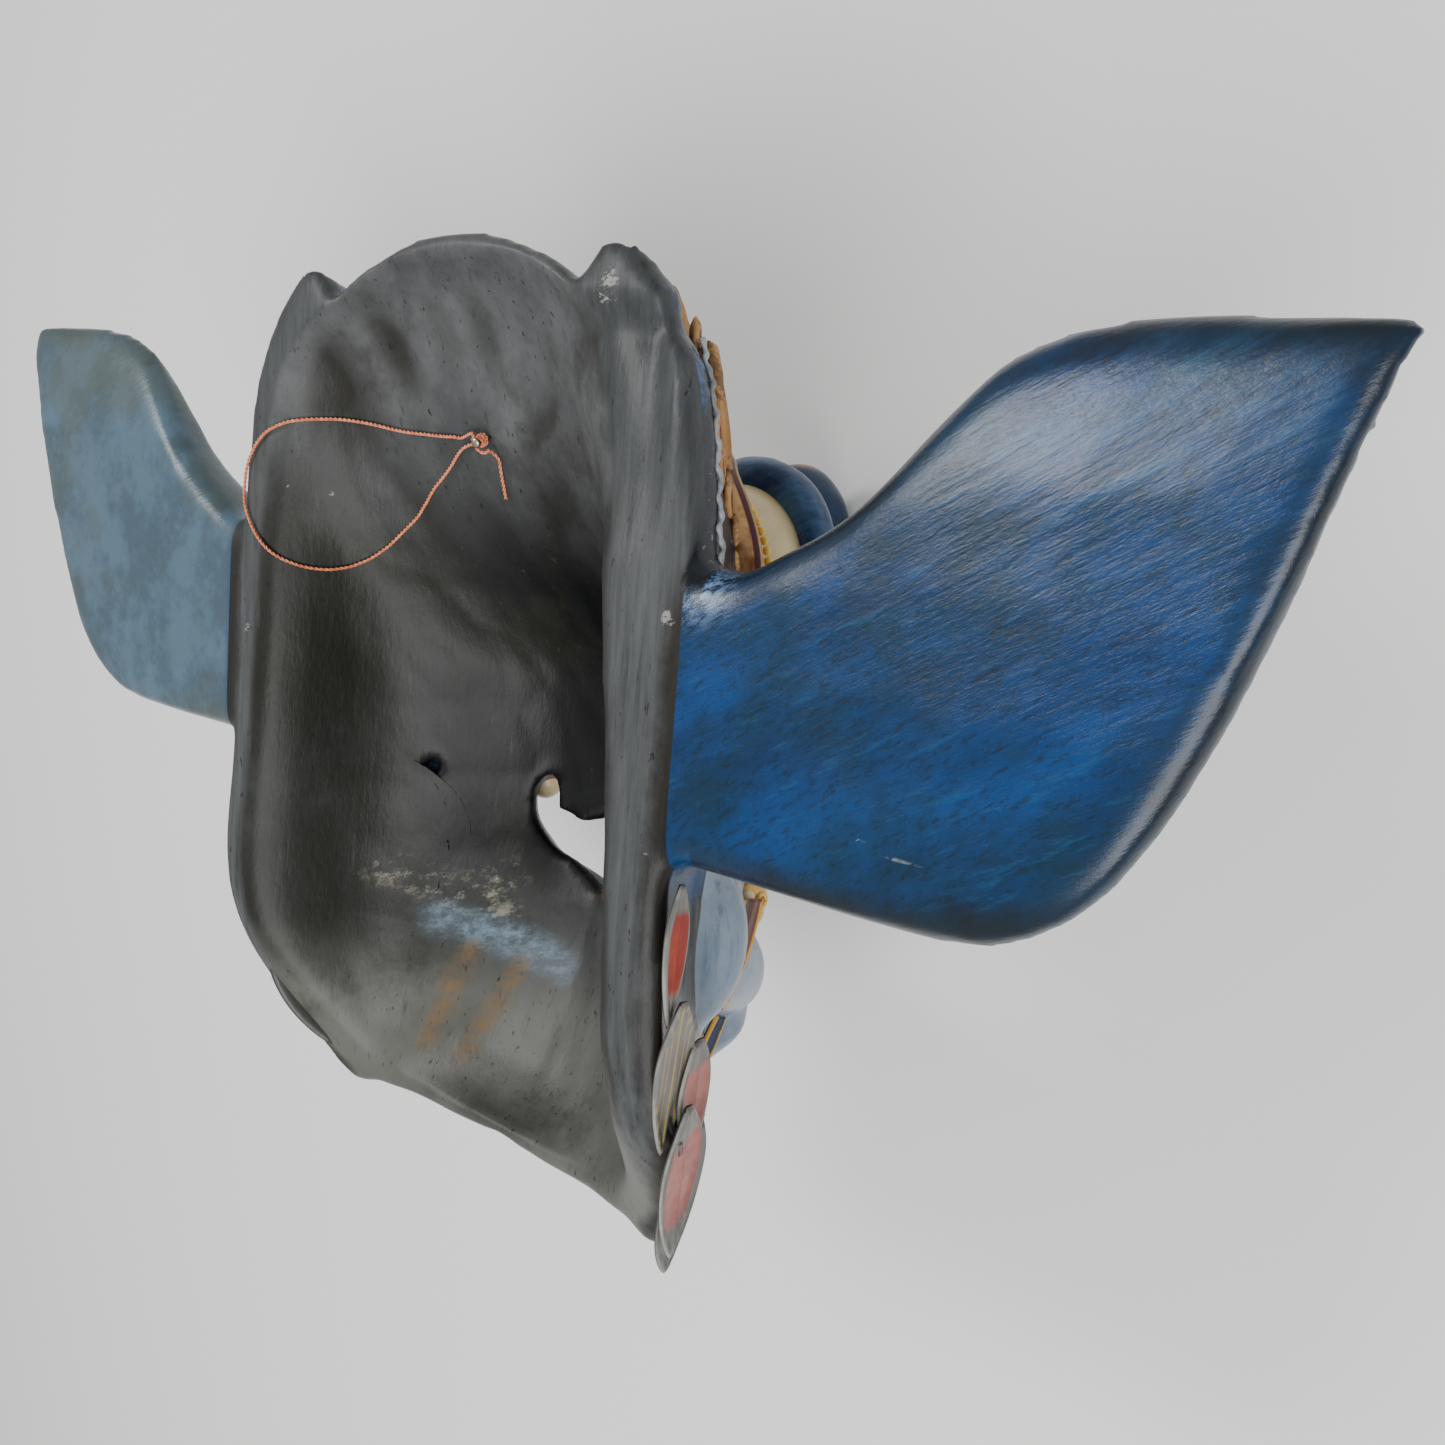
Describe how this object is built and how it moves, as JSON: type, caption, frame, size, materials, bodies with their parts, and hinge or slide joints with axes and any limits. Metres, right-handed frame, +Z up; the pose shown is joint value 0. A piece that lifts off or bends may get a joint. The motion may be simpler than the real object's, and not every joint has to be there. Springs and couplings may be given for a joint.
{
  "type": "elephant-head mask",
  "caption": "Hand-carved, painted wooden elephant-head mask with spread ears, a raised trunk, tusks and an open hollow back with a string loop.",
  "frame": {"origin": "on the floor under the middle of the mask's box, the mask lying face down", "axes": "+X across the ears to the right seen from behind, +Y towards the crown, +Z up out of the hollow back"},
  "size_m": [0.5486, 0.3108, 0.2133],
  "materials": {
    "painted_wood": "hand-painted, brushed and worn",
    "nail_steel": "dull bright wire nail",
    "orange_nylon": "twisted two-strand string"
  },
  "bodies": {
    "root": {"mask": "painted_wood", "hanging_nail": "nail_steel", "cord_knot": "orange_nylon", "hanging_cord": "orange_nylon"}
  },
  "joints": []
}
